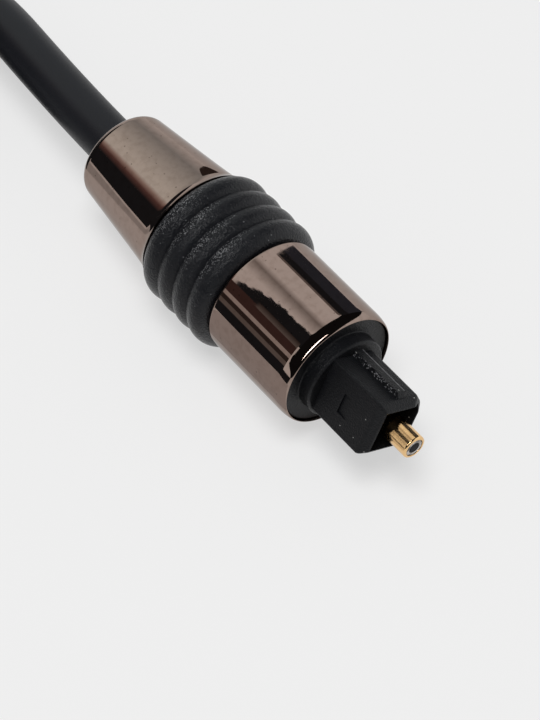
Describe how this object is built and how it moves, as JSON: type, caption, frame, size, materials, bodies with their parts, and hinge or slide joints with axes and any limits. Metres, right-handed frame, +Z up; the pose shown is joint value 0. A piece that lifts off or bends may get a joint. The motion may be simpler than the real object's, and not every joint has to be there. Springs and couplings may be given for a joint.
{
  "type": "optical audio cable",
  "caption": "Optical audio cable: a round plug with polished metal sleeves, a ribbed rubber grip and a keyed square nose round a gilt fibre tip, on a jacketed cable tied in a hank.",
  "frame": {"origin": "on the surface the cable lies on, under the middle of the near plug's length", "axes": "+X along the near plug towards its fibre tip, +Z up from the surface, +Y to the left of the plug"},
  "size_m": [0.1797, 0.0628, 0.015],
  "materials": {
    "fibre": "polished end",
    "fibre_jacket": "polished end",
    "gilt_metal": "gilt, polished",
    "moulding": "fine matt",
    "polished_metal": "dark, mirror polished",
    "grip_rubber": "moulded, powdery",
    "cable_jacket": "satin",
    "strap": "woven hook and loop"
  },
  "bodies": {
    "root": {"fibre_core": "fibre", "fibre_buffer": "fibre_jacket", "ferrule": "gilt_metal", "plug_body": "moulding", "front_sleeve": "polished_metal", "grip_ring": "grip_rubber", "rear_sleeve": "polished_metal", "near_lead": "cable_jacket", "hank": "cable_jacket", "cable_tie": "strap", "far_lead": "cable_jacket", "far_ferrule": "gilt_metal", "far_plug_body": "moulding", "far_front_sleeve": "polished_metal", "far_grip_ring": "grip_rubber", "far_rear_sleeve": "polished_metal"}
  },
  "joints": []
}
